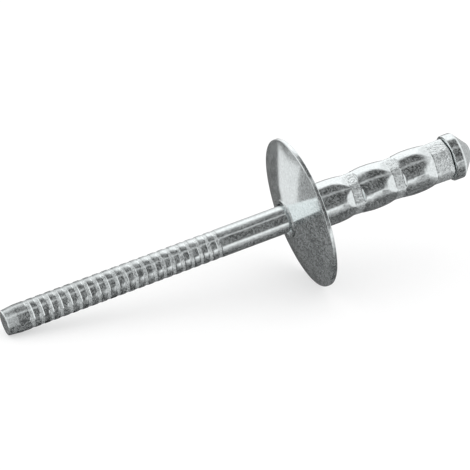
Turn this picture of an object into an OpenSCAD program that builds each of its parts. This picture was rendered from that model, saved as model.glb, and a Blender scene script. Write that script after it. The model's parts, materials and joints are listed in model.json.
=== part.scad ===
// Multi-grip blind rivet with a wide domed flange, as it is before it is set.
// It lies at rest on the rim of its flange and on the tip of its mandrel.
// The origin is on the rivet's axis, at the centre of the flange's underside.
// Each piece is drawn upright, with its axis on Z, the flange's underside at zero
// and the mandrel's head at the top, and lay_down() then puts it at rest.

/* [Sleeve] */
// Outside diameter of the sleeve where it isn't crimped
sleeve_d = 4.75; // [4.6:0.01:5.2]
// Length of the sleeve, from the flange's underside to its open end
sleeve_len = 16.75; // [14.5:0.05:30]
// Bevel at the outer edge of the sleeve's open end
sleeve_bevel = 0.12; // [0.05:0.01:0.16]
// Gap all round between the mandrel and the bore
bore_gap = 0.025; // [0.01:0.005:0.1]

/* [Flange] */
// Diameter of the flange
flange_d = 16.15; // [10:0.05:18]
// Thickness of the flange at its rim
rim_t = 0.45; // [0.3:0.05:0.9]
// Rounding of the rim's two edges
rim_round = 0.1; // [0.04:0.01:0.14]
// Height that the domed face climbs from the rim to the lip round the mandrel
dome_rise = 1.53; // [0.8:0.01:2.4]
// How far the dome stands out from a straight cone, at the middle of its slope
dome_bow = 0.1; // [0.02:0.01:0.2]
// Fillet between the flange's underside and the sleeve
root_fillet = 0.12; // [0.05:0.01:0.3]

/* [Lip round the mandrel] */
// Outside diameter of the raised lip
lip_d = 4.1; // [3.9:0.05:4.6]
// Height of the lip above the dome
lip_rise = 0.12; // [0.06:0.01:0.3]
// Rounding of the lip's outer edge
lip_round = 0.05; // [0.02:0.01:0.05]
// Width and depth of the countersink inside the lip
mouth_bevel = 0.37; // [0.2:0.01:0.45]

/* [Crimps] */
// Number of crimped bands along the sleeve
crimp_count = 3; // [1:1:3]
// Distance from one band to the next
crimp_pitch = 4.76; // [4.45:0.01:6.1]
// Length of a band, from the end of its ramp to its shoulder
crimp_len = 0.8; // [0.5:0.05:1.1]
// Length of the last band, which runs out at the sleeve's open end
last_crimp_len = 2.03; // [1.5:0.01:3]
// Depth of the ridges between the flats of a band
ridge_depth = 0.165; // [0.05:0.005:0.2]
// Rise of the ridges from the end of their ramp to the band's shoulder
ridge_rise = 0.05; // [0:0.01:0.1]
// Length of the ramp on the flange's side that leads down to the ridges
ridge_ramp_len = 2.1; // [1.2:0.05:2.4]
// Length over which the ridges swell back to the full diameter past a band
ridge_swell_len = 1.5; // [0.6:0.05:1.8]
// Depth of the flats of a band at their middle
flat_depth = 0.345; // [0.3:0.005:0.5]
// Rise of a flat from the end of its ramp to its shoulder
flat_rise = 0.04; // [0:0.01:0.08]
// Length of the ramp that leads down to a flat
flat_ramp_len = 1.72; // [1:0.01:1.9]
// Length over which a flat's pocket runs out past the band
flat_swell_len = 1.02; // [0.6:0.01:1.3]
// Length of the steep shoulder at the start of that run-out
shoulder_len = 0.3; // [0.1:0.05:0.5]
// How much further than the band a flat runs at each end
flat_over = 0.06; // [0.03:0.01:0.1]
// Number of flats round a band
crimp_sides = 6; // [5:1:7]
// Turn of the flats about the rivet's axis, in degrees
crimp_turn = 16; // [0:1:60]

/* [Mandrel] */
// Diameter of the mandrel
mandrel_d = 2.95; // [2.7:0.01:3.1]
// Length that the mandrel stands out of the flange's lip
mandrel_out = 31.3; // [30:0.1:40]
// Diameter at the mandrel's tip
tip_d = 2.66; // [2.4:0.01:2.7]
// Length of the taper at the tip
tip_len = 1.35; // [0.8:0.05:2]
// Rounding of the tip's edge
tip_round = 0.1; // [0.04:0.01:0.2]

/* [Pulling grooves] */
// Number of grooves that the setting tool's jaws grip
groove_count = 21; // [4:1:21]
// Distance from one groove to the next
groove_pitch = 1.04; // [0.95:0.01:1.15]
// Width of a groove at the mandrel's surface
groove_w = 0.52; // [0.35:0.01:0.75]
// Width of each of a groove's two sloping walls
groove_wall = 0.09; // [0.05:0.01:0.15]
// Depth of a groove
groove_depth = 0.055; // [0.03:0.005:0.12]
// Distance from the tip to the middle of the first groove
groove_start = 2.87; // [2.5:0.01:5]

/* [Break notch] */
// Distance from the mandrel's head to the middle of the notch
notch_below_head = 2.6; // [1.5:0.1:6]
// Width of the notch
notch_w = 1; // [0.6:0.1:1.6]
// Depth of the notch
notch_depth = 0.38; // [0.2:0.01:0.6]

/* [Mandrel head] */
// Diameter of the mandrel's head
head_d = 4.96; // [4.7:0.01:5.2]
// Length of the head's straight band
head_band = 1.1; // [0.6:0.05:2]
// Bevel of the head's edge beside the sleeve
head_bevel = 0.16; // [0.05:0.01:0.25]
// Length of the nose past the band: a cone with a domed end
nose_len = 1.55; // [0.8:0.05:2.4]
// Diameter at which the nose's cone meets its domed end
nose_end_d = 1.8; // [0.8:0.05:3]
// Height of that domed end
nose_cap = 0.2; // [0.05:0.01:0.4]

/* [Hidden] */
$fn = 96;

// Steps along a rounded edge, along a ramp and along the long curves
EDGE_STEPS = 3;
// The rim's edges have a finer rounding, because the rivet lies on them: with
// three steps, two rows of corners would touch the ground together
RIM_STEPS = 4;
RAMP_STEPS = 5;
CURVE_STEPS = 10;

// Room that a cutter reaches past what it cuts
REACH = 1;
// How far a crimping flat starts clear of the sleeve, so that its cut fades in
CLEAR = 0.02;
// Share of a flat's depth that its shoulder takes, before the swell
SHOULDER_SHARE = 0.7;

sleeve_r = sleeve_d / 2;
flange_r = flange_d / 2;
mandrel_r = mandrel_d / 2;
tip_r = tip_d / 2;
lip_r = lip_d / 2;
head_r = head_d / 2;
nose_end_r = nose_end_d / 2;
bore_r = mandrel_r + bore_gap;
flange_h = rim_t + dome_rise;
lip_z = -flange_h - lip_rise;
tip_z = lip_z - mandrel_out;
ridge_r = sleeve_r - ridge_depth;
ridge_stop_r = ridge_r + ridge_rise;
flat_r = sleeve_r - flat_depth;

// Where each band starts, counted so that the last one ends with the sleeve
function crimp_z(band) = sleeve_len - last_crimp_len - (crimp_count - 1 - band) * crimp_pitch;
function crimp_end(band) = band == crimp_count - 1 ? sleeve_len : crimp_z(band) + crimp_len;

// The plane that touches the rim's rounding and the tip's rounding gives the lean of the axis
rest_drop = (flange_r - rim_round) - (tip_r - tip_round);
rest_run = (rim_round - rim_t) - (tip_z + tip_round);
rest_lean = atan2(rest_drop, rest_run) + asin((rim_round - tip_round) / norm([rest_drop, rest_run]));

// Eased share of a climb: level at both its ends
function ease(t) = (1 - cos(180 * t)) / 2;
// Share of a ramp: level where it starts and steepest where it meets its band
function dive(t) = 1 - cos(90 * t);

// Points of a quarter round about a centre, from one angle to another
function arc(centre, radius, from, to, steps = EDGE_STEPS) =
    [for (i = [0:steps])
        let (a = from + (to - from) * i / steps)
        centre + radius * [cos(a), sin(a)]];

// Points of a ramp down to a band, along the axis
function ramp(z_from, r_from, z_to, r_to) =
    [for (i = [0:RAMP_STEPS])
        [r_from + (r_to - r_from) * dive(i / RAMP_STEPS), z_from + (z_to - z_from) * i / RAMP_STEPS]];

// Points of an eased climb back from a band, along the axis
function climb(z_from, r_from, z_to, r_to) =
    [for (i = [0:RAMP_STEPS])
        [r_from + (r_to - r_from) * ease(i / RAMP_STEPS), z_from + (z_to - z_from) * i / RAMP_STEPS]];

// Lays a piece down from its upright place
module lay_down() {
    rotate([0, 90 - rest_lean, 0]) children();
}

// The domed face of the flange, from the lip out to the rim
function dome_points() =
    [for (i = [0:CURVE_STEPS])
        let (t = i / CURVE_STEPS)
        [lip_r + (flange_r - rim_round - lip_r) * t,
         -flange_h + dome_rise * t - dome_bow * 4 * t * (1 - t)]];

// The outline of the ridges at one band: down their ramp, along the band and back up by the swell
function band_points(band) = concat(
    ramp(crimp_z(band) - ridge_ramp_len, sleeve_r, crimp_z(band), ridge_r),
    band == crimp_count - 1
        ? []
        : climb(crimp_end(band), ridge_stop_r, crimp_end(band) + ridge_swell_len, sleeve_r));

function body_outline() = concat(
    [[bore_r, lip_z + mouth_bevel], [bore_r + mouth_bevel, lip_z]],
    arc([lip_r - lip_round, lip_z + lip_round], lip_round, -90, 0),
    dome_points(),
    arc([flange_r - rim_round, rim_round - rim_t], rim_round, -60, 0, RIM_STEPS),
    arc([flange_r - rim_round, -rim_round], rim_round, 0, 90, RIM_STEPS),
    arc([sleeve_r + root_fillet, root_fillet], root_fillet, 270, 180),
    [for (band = [0:crimp_count - 1]) each band_points(band)],
    [[ridge_stop_r, sleeve_len - sleeve_bevel],
     [ridge_stop_r - sleeve_bevel, sleeve_len],
     [bore_r, sleeve_len]]);

// What the crimping die presses in at one flat: ramp, flat and shoulder, seen from the side
function die_outline(band) = let (
    flat_z = crimp_z(band) - flat_over,
    ramp_z = flat_z - flat_ramp_len,
    stop_z = crimp_end(band) + flat_over,
    last = band == crimp_count - 1,
    stop_r = last ? flat_r : flat_r + flat_rise,
    clear_r = sleeve_r + CLEAR,
    out_r = sleeve_r + REACH)
    concat(
        [[out_r, ramp_z]],
        ramp(ramp_z, clear_r, flat_z, flat_r),
        last
            ? [[stop_r, stop_z + REACH], [out_r, stop_z + REACH]]
            : [[stop_r, stop_z],
               [stop_r + (sleeve_r - stop_r) * SHOULDER_SHARE, stop_z + shoulder_len],
               [clear_r, stop_z + flat_swell_len],
               [out_r, stop_z + flat_swell_len]]);

// The crimping die of one band: a ring of jaws, one for each flat
module crimp_die(band) {
    for (side = [0:crimp_sides - 1]) {
        rotate([0, 0, crimp_turn + side * 360 / crimp_sides])
            rotate([90, 0, 0])
                linear_extrude(height = sleeve_d, center = true)
                    polygon(die_outline(band));
    }
}

// Sleeve and flange: one piece of aluminium
module rivet_body() {
    color([0.74, 0.75, 0.76])
        lay_down()
            difference() {
                rotate_extrude() polygon(body_outline());
                for (band = [0:crimp_count - 1]) crimp_die(band);
            }
}

// One pulling groove: a flat-bottomed dip with sloping walls in the mandrel's side
function groove_points(index) = let (
    middle = tip_z + groove_start + index * groove_pitch,
    top = groove_w / 2,
    floor = top - groove_wall)
    [[mandrel_r, middle - top],
     [mandrel_r - groove_depth, middle - floor],
     [mandrel_r - groove_depth, middle + floor],
     [mandrel_r, middle + top]];

// The waist at which the mandrel breaks once the rivet is set
function notch_points() = let (middle = sleeve_len - notch_below_head)
    [[mandrel_r, middle - notch_w / 2], [mandrel_r - notch_depth, middle], [mandrel_r, middle + notch_w / 2]];

// The head's nose, from its band to the axis: a cone and then a dome
function nose_points() = let (cap_z = sleeve_len + head_band + nose_len - nose_cap) concat(
    [[head_r, sleeve_len + head_band]],
    [for (i = [0:CURVE_STEPS])
        let (share = 1 - i / CURVE_STEPS)
        [nose_end_r * share, cap_z + nose_cap * (1 - share * share)]]);

function mandrel_outline() = concat(
    [[0, tip_z]],
    arc([tip_r - tip_round, tip_z + tip_round], tip_round, -90, 0),
    [[mandrel_r, tip_z + tip_len]],
    [for (index = [0:groove_count - 1]) each groove_points(index)],
    notch_points(),
    [[mandrel_r, sleeve_len], [head_r - head_bevel, sleeve_len], [head_r, sleeve_len + head_bevel]],
    nose_points());

// Mandrel and its head: one piece of plated steel
module mandrel() {
    color([0.62, 0.64, 0.65])
        lay_down()
            rotate_extrude() polygon(mandrel_outline());
}

rivet_body();
mandrel();
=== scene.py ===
"""Blind rivet with a wide domed flange, lying on its flange's rim and its mandrel's tip in a light tent."""
import json
import math

import bpy
import numpy as np
from mathutils import Matrix, Vector


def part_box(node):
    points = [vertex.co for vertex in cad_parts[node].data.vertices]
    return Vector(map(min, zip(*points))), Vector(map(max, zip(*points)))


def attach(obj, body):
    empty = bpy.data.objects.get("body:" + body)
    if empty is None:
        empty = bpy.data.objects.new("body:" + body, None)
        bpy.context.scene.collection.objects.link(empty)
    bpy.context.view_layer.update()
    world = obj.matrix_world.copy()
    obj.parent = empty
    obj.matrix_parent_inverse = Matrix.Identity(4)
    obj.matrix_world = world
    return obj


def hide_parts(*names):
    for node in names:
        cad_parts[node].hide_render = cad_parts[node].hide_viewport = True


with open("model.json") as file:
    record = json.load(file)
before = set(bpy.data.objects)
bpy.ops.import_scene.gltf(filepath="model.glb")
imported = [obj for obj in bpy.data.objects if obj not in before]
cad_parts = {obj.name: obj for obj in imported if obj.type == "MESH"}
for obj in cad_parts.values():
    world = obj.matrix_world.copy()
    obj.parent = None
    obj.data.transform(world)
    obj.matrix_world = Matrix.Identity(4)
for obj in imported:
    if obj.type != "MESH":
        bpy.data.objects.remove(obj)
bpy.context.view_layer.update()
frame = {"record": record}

MM = 0.001

# The rivet's axis and radii, read from the frame's mounts
mounts = {m["name"]: m for m in frame["record"]["mounts"]}
AXIS = Vector(mounts["sleeve_shank"]["axis"]).normalized()
SLEEVE_R = mounts["sleeve_shank"]["dims"]["r_mm"] * MM
MANDREL_R = mounts["pull_stem"]["dims"]["r_mm"] * MM
FLANGE_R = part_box("rivet_body")[1].y
HEAD_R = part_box("mandrel")[1].y
FLOOR_Z = min(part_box("rivet_body")[0].z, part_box("mandrel")[0].z)

# Lengths along the axis, from the flange's underside towards the mandrel's head
SLEEVE_LEN = 16.75 * MM
SLEEVE_BEVEL = 0.12 * MM
# The sleeve stops this far short of the head, which leaves a dark seam
SEAM = 0.08 * MM
BORE_R = MANDREL_R + 0.025 * MM
RIM_T = 0.45 * MM
RIM_ROUND = 0.1 * MM
DOME_RISE = 1.53 * MM
DOME_BOW = 0.1 * MM
ROOT_FILLET = 0.12 * MM
LIP_R = 2.05 * MM
LIP_RISE = 0.12 * MM
LIP_ROUND = 0.05 * MM
MOUTH_BEVEL = 0.3 * MM
LIP_S = -RIM_T - DOME_RISE - LIP_RISE

# The crimped bands. The last one runs on past the sleeve's end.
CRIMP_COUNT = 3
CRIMP_PITCH = 4.76 * MM
CRIMP_LEN = 0.8 * MM
LAST_CRIMP_LEN = 2.03 * MM
LAST_CRIMP_OVERRUN = 1 * MM
RIDGE_DEPTH = 0.165 * MM
RIDGE_RISE = 0.05 * MM
RIDGE_RAMP = 2.1 * MM
RIDGE_SWELL = 1.5 * MM
FLAT_DEPTH = 0.345 * MM
FLAT_RISE = 0.04 * MM
FLAT_RAMP = 1.72 * MM
FLAT_SWELL = 1.02 * MM
SHOULDER_LEN = 0.3 * MM
SHOULDER_SHARE = 0.7
FLAT_OVER = 0.06 * MM
CRIMP_SIDES = 6
CRIMP_TURN = math.radians(16)
RIDGE_SOFT = 0.035 * MM
RIDGE_FADE = 0.2

# The mandrel
MANDREL_OUT = 31.3 * MM
TIP_S = LIP_S - MANDREL_OUT
TIP_R = 1.33 * MM
TIP_LEN = 1.35 * MM
TIP_ROUND = 0.1 * MM
# Radii of the rings across the tip's flat end, in millimetres
TIP_FACE_RADII = (0.3, 0.7, 1.0)
GROOVE_COUNT = 21
GROOVE_PITCH = 1.0363 * MM
GROOVE_W = 0.52 * MM
GROOVE_WALL = 0.11 * MM
GROOVE_DEPTH = 0.04 * MM
GROOVE_START = 2.655 * MM
# A groove's corners are rounded over this share of its wall, with these shares of its depth from edge to floor
GROOVE_CORNER = 0.25
GROOVE_SHARES = (0, 0.08, 0.3, 0.7, 0.92, 1)
NOTCH_BELOW_HEAD = 2.6 * MM
NOTCH_W = 1.0 * MM
NOTCH_DEPTH = 0.38 * MM
HEAD_BAND = 1.1 * MM
HEAD_BEVEL = 0.16 * MM
NOSE_LEN = 1.55 * MM
NOSE_END_R = 0.9 * MM
NOSE_CAP = 0.2 * MM
NOSE_EDGE = 0.12 * MM

# How rough the grooves' floors and the crimped bands are, from 0 to 1
GROOVE_ROUGH = 0.6
BAND_ROUGH = 0.5

# How finely the two pieces are meshed
BODY_SIDES = 216
MANDREL_SIDES = 128
SLEEVE_STEP = 0.065 * MM

# The photograph's view: direction of the camera, its distance, and where the origin shows
PICTURE = 470
VIEW_AZIMUTH = math.radians(-22.52)
VIEW_ELEVATION = math.radians(24.12)
VIEW_DISTANCE = 0.3
FOCAL_PX = 2900
ORIGIN_PX = (303, 212)

# The light tent, a drum about the rivet's axis. Each profile gives the brightness of its wall by the turn about
# the axis, in degrees: 0 is the camera's side, 90 the top, 180 the back. RINGS says at which places along the
# axis, in millimetres, each profile holds.
TENT_RADIUS = 60 * MM
TENT_HALF = 150 * MM
FAR_TIP = ((-180, 0.15), (-60, 0.2), (60, 0.25), (180, 0.2))
TIP_FAR = ((-180, 0.14), (-124, 0.12), (-62, 0.14), (60, 0.2), (72, 1.1), (150, 1.1), (158, 0.2), (180, 0.2))
TIP_SIDE = ((-180, 0.14), (-124, 0.12), (-62, 0.14), (-52, 1.1), (150, 1.1), (158, 0.2), (180, 0.2))
AT_TIP = ((-180, 0.13), (-158, 0.13), (-150, 0.03), (-133, 0.03), (-117, 0.05), (-103, 0.08), (-91, 0.1),
          (-60, 0.11), (-8, 0.12), (18, 0.13), (26, 0.5), (33, 0.55), (40, 0.28), (46, 0.13), (66, 0.13),
          (76, 0.22), (86, 0.42), (98, 0.66), (110, 0.85), (120, 0.62), (130, 0.36), (150, 0.22), (158, 0.14),
          (180, 0.14))
AT_STEM = ((-180, 0.1), (-117, 0.09), (-103, 0.1), (-91, 0.12), (-80, 0.26), (-70, 0.42), (-60, 0.62),
           (-51, 1.0), (-42, 0.97), (-36, 0.45), (-32, 0.16), (-24, 0.13), (-8, 0.1), (26, 0.11), (31, 0.5),
           (38, 0.5), (43, 0.14), (57, 0.17), (66, 0.25), (76, 0.42), (86, 0.85), (97, 1.2), (115, 1.2),
           (128, 0.85), (150, 0.7), (158, 0.14), (180, 0.14))
AT_SLEEVE = ((-180, 0.1), (-77, 0.11), (-70, 0.23), (-64, 0.36), (-58, 0.52), (-52, 0.64), (-46, 0.85),
             (-41, 1.0), (-36, 0.85), (-32, 0.18), (-21, 0.13), (-8, 0.08), (26, 0.08), (31, 0.38), (38, 0.38),
             (43, 0.09), (70, 0.09), (80, 0.2), (86, 0.7), (92, 1.2), (135, 1.2), (150, 0.8), (158, 0.14),
             (180, 0.14))
LOW_TURNS = (-64, -36)
LOW_LIGHT = 0.38
PAST_SLEEVE = tuple((turn, LOW_LIGHT if LOW_TURNS[0] < turn < LOW_TURNS[1] else level)
                    for turn, level in AT_SLEEVE)
HEAD_SIDE = ((-180, 0.5), (-158, 0.5), (-156, 0.95), (156, 0.95), (158, 0.5), (180, 0.5))
RINGS = ((-112, FAR_TIP), (-100, TIP_FAR), (-90, TIP_FAR), (-82, TIP_SIDE), (-46, TIP_SIDE), (-31, AT_TIP),
         (-14, AT_TIP), (2, AT_STEM), (13, AT_STEM), (18, AT_SLEEVE), (28, AT_SLEEVE), (34, PAST_SLEEVE),
         (42, PAST_SLEEVE), (54, HEAD_SIDE))
TENT_ENDS = (0.25, 0.6)

# The tent's back is dark, with a slanted wedge of light that the flange's upper half shows. It starts and stops
# at these places, and past a certain turn its edge moves on by so many millimetres a degree.
BACK_TURN = 158
BACK_STOP = 42
BACK_LEVEL = 0.14
WEDGE_START = (-64, -60)
WEDGE_STOP = -24
WEDGE_TURN = 168
WEDGE_SLANT = 2.6
WEDGE_BLUR = 2.5
WEDGE_LIGHT = 0.72
BELOW_WEDGE_LIGHT = 0.16

# The metals: colour, lowest and highest roughness, share of dull film, and strength of the drawing lines
ALUMINIUM = ((0.86, 0.905, 0.91), (0.07, 0.13), 0.16, 0.5)
STEEL = ((0.85, 0.895, 0.9), (0.07, 0.13), 0.16, 1.0)
DARK_TINT = 0.82

# What full roughness of the grooves' floors and the bands adds
WORN_METALLIC = -0.4
WORN_ROUGHNESS = 0.2
WORN_BUMP = 90.0

# The noises' scales, in features a metre, and the relief that they give
CLOUDS = 900
PATCHES = 5000
LUMPS = 3400
GRAIN = 9000
STREAKS = 7000
STREAK_STRETCH = 0.08
BUMP_STRENGTH = 0.2
BUMP_HEIGHT = 0.01 * MM

# Floor and lamps
FLOOR_HALF = 3.0
FLOOR_COLOUR = 0.93
FLOOR_GLOW = 0.5
WORLD_STRENGTH = 1.15
LAMP_SIZE = 0.9
LAMP_ENERGY = 0.35
LAMP_PLACE = (-0.1, 0.1, 0.6)


def ease(t):
    """Share of a climb that is level at both ends."""
    t = np.clip(t, 0, 1)
    return (1 - np.cos(np.pi * t)) / 2


def across(s, s_from, s_to):
    """Eased share of the way from one place to another."""
    return ease((s - s_from) / (s_to - s_from))


def dive(s, s_from, s_to):
    """Share of a ramp that is level where it starts and steepest where it ends."""
    return 1 - np.cos(np.pi / 2 * np.clip((s - s_from) / (s_to - s_from), 0, 1))


def arc(s, r, radius, start, stop, steps):
    """Rows (place on the axis, radius) round an edge; an angle of 0 points away from the axis."""
    turns = np.radians(np.linspace(start, stop, steps + 1))
    return [(s + radius * math.sin(a), r + radius * math.cos(a)) for a in turns]


def line(start, stop, steps, first=0):
    """Rows along a straight stretch; first=1 leaves its first row out."""
    return [(start[0] + (stop[0] - start[0]) * i / steps, start[1] + (stop[1] - start[1]) * i / steps)
            for i in range(first, steps + 1)]


def crimp_start(band):
    """Where a band's ramp ends and its crimp starts."""
    return SLEEVE_LEN - LAST_CRIMP_LEN - (CRIMP_COUNT - 1 - band) * CRIMP_PITCH


def crimp_len(band):
    """Length of a band's crimp."""
    return LAST_CRIMP_LEN + LAST_CRIMP_OVERRUN if band == CRIMP_COUNT - 1 else CRIMP_LEN


def ridge_depth(s, band):
    """Depth of a band's ridges at one place along the sleeve."""
    start = crimp_start(band)
    stop = start + crimp_len(band)
    rise = RIDGE_RISE * np.clip((s - start) / (stop - start), 0, 1)
    return (RIDGE_DEPTH - rise) * dive(s, start - RIDGE_RAMP, start) * (1 - across(s, stop, stop + RIDGE_SWELL))


def flat_height(s, band):
    """Distance of a band's flats from the axis, along the sleeve, and how far they are pressed in."""
    start = crimp_start(band) - FLAT_OVER
    stop = crimp_start(band) + crimp_len(band) + FLAT_OVER
    down = dive(s, start - FLAT_RAMP, start)
    shoulder = across(s, stop, stop + SHOULDER_LEN) * SHOULDER_SHARE
    swell = across(s, stop + SHOULDER_LEN * 0.5, stop + FLAT_SWELL) * (1 - SHOULDER_SHARE)
    rise = FLAT_RISE * np.clip((s - start) / crimp_len(band), 0, 1)
    pressed = down * (1 - shoulder - swell)
    return SLEEVE_R - (FLAT_DEPTH - rise) * pressed, pressed


def sleeve_radius(s, turns):
    """Radius of the crimped sleeve at one place on the axis, for each turn about it, and its roughness there."""
    ridge = SLEEVE_R
    flat = np.full_like(turns, 1.0)
    rough = 0.0
    side = 2 * math.pi / CRIMP_SIDES
    off = (turns - CRIMP_TURN + side / 2) % side - side / 2
    for band in range(CRIMP_COUNT):
        start, stop = crimp_start(band), crimp_start(band) + crimp_len(band)
        ridge -= ridge_depth(s, band)
        height, pressed = flat_height(s, band)
        if pressed > 0:
            flat = np.minimum(flat, height / np.cos(off))
        edge = FLAT_OVER * 2
        rough = max(rough, across(s, start - edge, start) * (1 - across(s, stop, stop + edge)))
    gap = (flat - ridge) / RIDGE_SOFT
    soft = ridge - RIDGE_SOFT * np.log1p(np.exp(-np.clip(gap, -60, 60)))
    fade = ease((SLEEVE_R - ridge) / (RIDGE_DEPTH * RIDGE_FADE))
    return soft * fade + np.minimum(flat, ridge) * (1 - fade), rough


def body_rows():
    """The closed section of the flange and the bore, as (place, radius)."""
    cone_r = FLANGE_R - RIM_ROUND
    rows = line((SLEEVE_LEN - SEAM, BORE_R), (LIP_S + MOUTH_BEVEL, BORE_R), 16)
    rows += line((LIP_S + MOUTH_BEVEL, BORE_R), (LIP_S, BORE_R + MOUTH_BEVEL), 6, 1)
    rows += line((LIP_S, BORE_R + MOUTH_BEVEL), (LIP_S, LIP_R - LIP_ROUND), 3, 1)
    rows += arc(LIP_S + LIP_ROUND, LIP_R - LIP_ROUND, LIP_ROUND, -72, 0, 4)
    for i in range(49):
        t = i / 48
        bow = DOME_BOW * 4 * t * (1 - t)
        rows.append((-RIM_T - DOME_RISE * (1 - t) - bow, LIP_R + (cone_r - LIP_R) * t))
    rows += arc(RIM_ROUND - RIM_T, cone_r, RIM_ROUND, -60, 0, 6)[1:]
    rows += line((RIM_ROUND - RIM_T, FLANGE_R), (-RIM_ROUND, FLANGE_R), 3, 1)
    rows += arc(-RIM_ROUND, cone_r, RIM_ROUND, 0, 90, 6)[1:]
    rows += line((0, cone_r), (0, SLEEVE_R + ROOT_FILLET), 12, 1)
    rows += arc(ROOT_FILLET, SLEEVE_R + ROOT_FILLET, ROOT_FILLET, 270, 180, 6)[1:]
    return rows


def turned_mesh(name, rings, rough, closed):
    """A mesh from rings (place, radii) about the axis; closed joins the last ring to the first."""
    sides = len(rings[0][1])
    turns = np.arange(sides) * 2 * math.pi / sides
    lay = Matrix.Rotation(math.pi / 2 - math.atan2(AXIS.z, AXIS.x), 3, "Y")
    points = []
    for s, radii in rings:
        ring = np.stack([radii * np.cos(turns), radii * np.sin(turns), np.full(sides, s)], 1)
        points.append(ring @ np.array(lay).T)
    verts = np.concatenate(points).tolist()
    faces = []
    count = len(rings)
    for i in range(count if closed else count - 1):
        here, there = i * sides, (i + 1) % count * sides
        for j in range(sides):
            k = (j + 1) % sides
            faces.append((here + j, here + k, there + k, there + j))
    if not closed:
        for ring in (0, count - 1):
            centre = len(verts)
            verts.append(list(AXIS * rings[ring][0]))
            for j in range(sides):
                a, b = ring * sides + j, ring * sides + (j + 1) % sides
                faces.append((centre, b, a) if ring == 0 else (centre, a, b))
    mesh = bpy.data.meshes.new(name)
    mesh.from_pydata(verts, [], faces)
    mark = mesh.attributes.new("rough", "FLOAT", "POINT")
    mark.data.foreach_set("value", np.repeat(rough, sides).tolist() + [0.0] * (len(verts) - count * sides))
    mesh.polygons.foreach_set("use_smooth", [True] * len(mesh.polygons))
    mesh.update()
    piece = bpy.data.objects.new(name, mesh)
    bpy.context.scene.collection.objects.link(piece)
    return piece


def make_body():
    """Sleeve and flange, one piece of aluminium with crimped bands."""
    turns = np.arange(BODY_SIDES) * 2 * math.pi / BODY_SIDES
    rings = [(s, np.full(BODY_SIDES, r)) for s, r in body_rows()]
    rough = [0.0] * len(rings)
    end = SLEEVE_LEN - SEAM - SLEEVE_BEVEL
    steps = round((end - ROOT_FILLET) / SLEEVE_STEP)
    for i in range(1, steps + 1):
        s = ROOT_FILLET + (end - ROOT_FILLET) * i / steps
        radii, mark = sleeve_radius(s, turns)
        rings.append((s, radii))
        rough.append(mark * BAND_ROUGH)
    radii, mark = sleeve_radius(SLEEVE_LEN, turns)
    for step in range(1, 5):
        a = math.pi / 2 * step / 4
        rings.append((end + SLEEVE_BEVEL * math.sin(a), radii - SLEEVE_BEVEL * (1 - math.cos(a))))
        rough.append(mark * BAND_ROUGH)
    return turned_mesh("sleeve_with_flange", rings, rough, True)


def groove_rows(middle):
    """One pulling groove, with sloping walls and softened edges."""
    top, floor = GROOVE_W / 2, GROOVE_W / 2 - GROOVE_WALL
    soft = GROOVE_WALL * GROOVE_CORNER
    half = list(zip((top + soft, top, top - soft, floor + soft, floor, floor - soft), GROOVE_SHARES))
    left = [(middle - off, MANDREL_R - GROOVE_DEPTH * share) for off, share in half]
    right = [(middle + off, MANDREL_R - GROOVE_DEPTH * share) for off, share in reversed(half)]
    return left + right


def mandrel_rows():
    """The mandrel's outline from its tip to its nose."""
    rows = [(TIP_S, r * MM) for r in TIP_FACE_RADII]
    rows += arc(TIP_S + TIP_ROUND, TIP_R - TIP_ROUND, TIP_ROUND, -90, 0, 5)
    rows += line((TIP_S + TIP_ROUND, TIP_R), (TIP_S + TIP_LEN, MANDREL_R), 8, 1)
    for index in range(GROOVE_COUNT):
        rows += groove_rows(TIP_S + GROOVE_START + index * GROOVE_PITCH)
    notch = SLEEVE_LEN - NOTCH_BELOW_HEAD
    rows += line(rows[-1], (notch - NOTCH_W / 2, MANDREL_R), 20, 1)
    rows += [(notch, MANDREL_R - NOTCH_DEPTH), (notch + NOTCH_W / 2, MANDREL_R)]
    rows += line((notch + NOTCH_W / 2, MANDREL_R), (SLEEVE_LEN, MANDREL_R), 3, 1)
    rows += line((SLEEVE_LEN, MANDREL_R), (SLEEVE_LEN, HEAD_R - HEAD_BEVEL), 4, 1)
    rows += arc(SLEEVE_LEN + HEAD_BEVEL, HEAD_R - HEAD_BEVEL, HEAD_BEVEL, -90, 0, 6)[1:]
    shoulder = SLEEVE_LEN + HEAD_BAND - NOSE_EDGE / 2
    rows += line((SLEEVE_LEN + HEAD_BEVEL, HEAD_R), (shoulder, HEAD_R), 5, 1)
    cap = SLEEVE_LEN + HEAD_BAND + NOSE_LEN - NOSE_CAP
    slant = (HEAD_R - NOSE_END_R) / (NOSE_LEN - NOSE_CAP)
    rows.append((shoulder + NOSE_EDGE / 2, HEAD_R - NOSE_EDGE * slant / 8))
    rows += line((shoulder + NOSE_EDGE, HEAD_R - NOSE_EDGE * slant / 2), (cap, NOSE_END_R), 14)
    for i in range(1, 16):
        share = 1 - i / 16
        rows.append((cap + NOSE_CAP * (1 - share ** 2), NOSE_END_R * share))
    rows.append((cap + NOSE_CAP, NOSE_END_R / 40))
    return rows


def make_mandrel():
    """The pull mandrel with its head, one piece of plated steel."""
    rows = mandrel_rows()
    rings = [(s, np.full(MANDREL_SIDES, r)) for s, r in rows]
    floor_r = MANDREL_R - GROOVE_DEPTH * GROOVE_SHARES[3]
    rough = [GROOVE_ROUGH if TIP_S + TIP_LEN < s < LIP_S and r < floor_r else 0.0 for s, r in rows]
    return turned_mesh("pull_mandrel", rings, rough, False)


def link(tree, source, output, target, slot_name):
    """Joins an output of one node to an input of another."""
    tree.links.new(source.outputs[output], target.inputs[slot_name])


def noise_node(tree, coordinates, scale, detail=3.0):
    """Noise with so many features a metre."""
    node = tree.nodes.new("ShaderNodeTexNoise")
    node.inputs["Scale"].default_value = scale
    node.inputs["Detail"].default_value = detail
    link(tree, coordinates, 0, node, "Vector")
    return node


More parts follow.
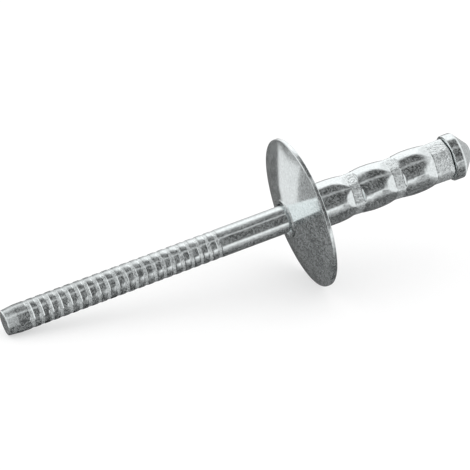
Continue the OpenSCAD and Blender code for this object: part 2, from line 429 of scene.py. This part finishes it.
def ramp_node(tree, source, output, low, high, dark, light):
    """Maps a value from low..high onto dark..light."""
    node = tree.nodes.new("ShaderNodeMapRange")
    for name, value in (("From Min", low), ("From Max", high), ("To Min", dark), ("To Max", light)):
        node.inputs[name].default_value = value
    link(tree, source, output, node, "Value")
    return node


def times_plus(tree, source, output, factor, added=None, added_output=0):
    """A value times a number, plus another value."""
    node = tree.nodes.new("ShaderNodeMath")
    node.operation = "MULTIPLY_ADD"
    link(tree, source, output, node, 0)
    node.inputs[1].default_value = factor
    node.inputs[2].default_value = 0.0
    if added:
        link(tree, added, added_output, node, 2)
    return node


def metal(name, colour, gloss, film, lines):
    """Bright metal with a dull film in patches, drawing lines and rough crimped bands, all from noise."""
    material = bpy.data.materials.new(name)
    material.use_nodes = True
    tree = material.node_tree
    shader = tree.nodes["Principled BSDF"]
    where = tree.nodes.new("ShaderNodeTexCoord")
    turned = tree.nodes.new("ShaderNodeMapping")
    turned.inputs["Rotation"].default_value = (0, math.atan2(AXIS.z, AXIS.x), 0)
    link(tree, where, "Object", turned, "Vector")
    drawn = tree.nodes.new("ShaderNodeMapping")
    drawn.inputs["Scale"].default_value = (STREAK_STRETCH, 1, 1)
    link(tree, turned, 0, drawn, "Vector")
    mark = tree.nodes.new("ShaderNodeAttribute")
    mark.attribute_name = "rough"
    clouds = noise_node(tree, turned, CLOUDS, 3)
    patches = noise_node(tree, turned, PATCHES, 4)
    lumps = noise_node(tree, turned, LUMPS, 4)
    grain = noise_node(tree, turned, GRAIN, 3)
    streaks = noise_node(tree, drawn, STREAKS, 3)

    tint = tree.nodes.new("ShaderNodeMix")
    tint.data_type = "RGBA"
    tint.inputs["A"].default_value = (*[c * DARK_TINT for c in colour], 1)
    tint.inputs["B"].default_value = (*colour, 1)
    spread = ramp_node(tree, patches, "Fac", 0.35, 0.65, 0, 1)
    link(tree, spread, 0, tint, "Factor")
    link(tree, tint, "Result", shader, "Base Color")

    cover = times_plus(tree, clouds, "Fac", 0.5, patches, "Fac")
    dull = ramp_node(tree, cover, 0, 0.66, 0.86, 1.0, 1.0 - film)
    worn = times_plus(tree, mark, "Fac", WORN_METALLIC, dull)
    link(tree, worn, 0, shader, "Metallic")

    shine = ramp_node(tree, grain, "Fac", 0.3, 0.7, gloss[0], gloss[1])
    rougher = times_plus(tree, mark, "Fac", WORN_ROUGHNESS, shine)
    link(tree, rougher, 0, shader, "Roughness")

    height = times_plus(tree, streaks, "Fac", lines, patches, "Fac")
    worked = tree.nodes.new("ShaderNodeMath")
    worked.operation = "MULTIPLY"
    link(tree, mark, "Fac", worked, 0)
    link(tree, lumps, "Fac", worked, 1)
    total = times_plus(tree, worked, 0, WORN_BUMP, height)
    bump = tree.nodes.new("ShaderNodeBump")
    bump.inputs["Strength"].default_value = BUMP_STRENGTH
    bump.inputs["Distance"].default_value = BUMP_HEIGHT
    link(tree, total, 0, bump, "Height")
    link(tree, bump, "Normal", shader, "Normal")
    return material


def directions():
    """The camera's own right, up and back, and the rivet's side towards the camera and its upper side."""
    back = Vector((math.sin(VIEW_AZIMUTH) * math.cos(VIEW_ELEVATION),
                   -math.cos(VIEW_AZIMUTH) * math.cos(VIEW_ELEVATION), math.sin(VIEW_ELEVATION)))
    right = Vector((0, 0, 1)).cross(back).normalized()
    up = back.cross(right)
    near = (back - AXIS * back.dot(AXIS)).normalized()
    return right, up, back, near, near.cross(AXIS)


def make_camera():
    """A camera that sees the rivet as the photograph shows it."""
    right, up, back, _, _ = directions()
    data = bpy.data.cameras.new("camera")
    data.lens = data.sensor_width * FOCAL_PX / PICTURE
    camera = bpy.data.objects.new("camera", data)
    bpy.context.scene.collection.objects.link(camera)
    aside = (ORIGIN_PX[0] - PICTURE / 2) / FOCAL_PX * VIEW_DISTANCE
    above = (PICTURE / 2 - ORIGIN_PX[1]) / FOCAL_PX * VIEW_DISTANCE
    camera.location = back * VIEW_DISTANCE - right * aside - up * above
    camera.rotation_euler = back.to_track_quat("Z", "Y").to_euler()
    data.clip_start = 0.01
    data.clip_end = 20
    bpy.context.scene.camera = camera


def tent_level(turn, place):
    """Brightness of the tent at one turn about the axis and one place along it."""
    place = place / MM
    places = [ring[0] for ring in RINGS]
    levels = [np.interp(turn, *zip(*ring[1])) for ring in RINGS]
    level = np.interp(place, places, levels)
    if turn > BACK_TURN and place < BACK_STOP:
        started = across(place, *WEDGE_START)
        edge = WEDGE_STOP - WEDGE_SLANT * max(0, turn - WEDGE_TURN)
        wedge = started - across(place, edge - WEDGE_BLUR, edge + WEDGE_BLUR)
        level = BACK_LEVEL + WEDGE_LIGHT * wedge + BELOW_WEDGE_LIGHT * (1 - started)
    return level


def make_tent():
    """A light tent round the rivet, which shows only as reflections in its metal."""
    _, _, _, near, over = directions()
    turn_steps, along_steps = 240, 150
    verts, faces, light = [], [], []
    for i in range(along_steps + 1):
        place = TENT_HALF * (2 * i / along_steps - 1)
        for j in range(turn_steps):
            turn = -180 + 360 * j / turn_steps
            a = math.radians(turn)
            verts.append((near * math.cos(a) + over * math.sin(a)) * TENT_RADIUS + AXIS * place)
            light.append(float(tent_level(turn, place)))
    for i in range(along_steps):
        for j in range(turn_steps):
            k = (j + 1) % turn_steps
            a, b = i * turn_steps, (i + 1) * turn_steps
            faces.append((a + j, a + k, b + k, b + j))
    for first, end, level in ((0, -1, TENT_ENDS[0]), (along_steps * turn_steps, 1, TENT_ENDS[1])):
        verts.append(AXIS * TENT_HALF * end)
        light.append(level)
        for j in range(turn_steps):
            faces.append((first + j, first + (j + 1) % turn_steps, len(verts) - 1))
    mesh = bpy.data.meshes.new("light_tent")
    mesh.from_pydata([tuple(v) for v in verts], [], faces)
    mesh.attributes.new("level", "FLOAT", "POINT").data.foreach_set("value", light)
    tent = bpy.data.objects.new("light_tent", mesh)
    bpy.context.scene.collection.objects.link(tent)
    material = bpy.data.materials.new("tent_light")
    material.use_nodes = True
    tree = material.node_tree
    tree.nodes.remove(tree.nodes["Principled BSDF"])
    glow = tree.nodes.new("ShaderNodeEmission")
    source = tree.nodes.new("ShaderNodeAttribute")
    source.attribute_name = "level"
    link(tree, source, "Fac", glow, "Strength")
    link(tree, glow, 0, tree.nodes["Material Output"], "Surface")
    mesh.materials.append(material)
    tent.visible_camera = False
    tent.visible_diffuse = False
    tent.visible_shadow = False
    tent.visible_transmission = False


def make_floor():
    """A pale floor that is part white for the camera, so that the shadow on it stays faint."""
    mesh = bpy.data.meshes.new("floor")
    corners = [(x * FLOOR_HALF, y * FLOOR_HALF, FLOOR_Z) for x, y in ((-1, -1), (1, -1), (1, 1), (-1, 1))]
    mesh.from_pydata(corners, [], [(0, 1, 2, 3)])
    floor = bpy.data.objects.new("floor", mesh)
    bpy.context.scene.collection.objects.link(floor)
    material = bpy.data.materials.new("pale_floor")
    material.use_nodes = True
    tree = material.node_tree
    shader = tree.nodes["Principled BSDF"]
    shader.inputs["Base Color"].default_value = (FLOOR_COLOUR, FLOOR_COLOUR, FLOOR_COLOUR, 1)
    shader.inputs["Roughness"].default_value = 1.0
    shader.inputs["Specular IOR Level"].default_value = 0.0
    path = tree.nodes.new("ShaderNodeLightPath")
    share = times_plus(tree, path, "Is Camera Ray", FLOOR_GLOW)
    white = tree.nodes.new("ShaderNodeEmission")
    mix = tree.nodes.new("ShaderNodeMixShader")
    link(tree, share, 0, mix, 0)
    link(tree, shader, 0, mix, 1)
    link(tree, white, 0, mix, 2)
    link(tree, mix, 0, tree.nodes["Material Output"], "Surface")
    mesh.materials.append(material)
    floor.visible_glossy = False


def make_light():
    """Soft studio light: a pale world and one large lamp overhead."""
    world = bpy.data.worlds.new("studio")
    bpy.context.scene.world = world
    world.use_nodes = True
    world.node_tree.nodes["Background"].inputs["Color"].default_value = (1, 1, 1, 1)
    world.node_tree.nodes["Background"].inputs["Strength"].default_value = WORLD_STRENGTH
    data = bpy.data.lights.new("overhead", "AREA")
    data.shape = "DISK"
    data.size = LAMP_SIZE
    data.energy = LAMP_ENERGY
    lamp = bpy.data.objects.new("overhead", data)
    lamp.location = LAMP_PLACE
    lamp.rotation_euler = Vector(lamp.location).to_track_quat("Z", "Y").to_euler()
    lamp.visible_glossy = False
    bpy.context.scene.collection.objects.link(lamp)


make_camera()
aluminium = metal("bright_aluminium", *ALUMINIUM)
steel = metal("plated_steel", *STEEL)

body = make_body()
body.data.materials.append(aluminium)
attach(body, "root")
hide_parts("rivet_body")

mandrel = make_mandrel()
mandrel.data.materials.append(steel)
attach(mandrel, "root")
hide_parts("mandrel")

make_tent()
make_floor()
make_light()

scene = bpy.context.scene
scene.view_settings.view_transform = "Standard"
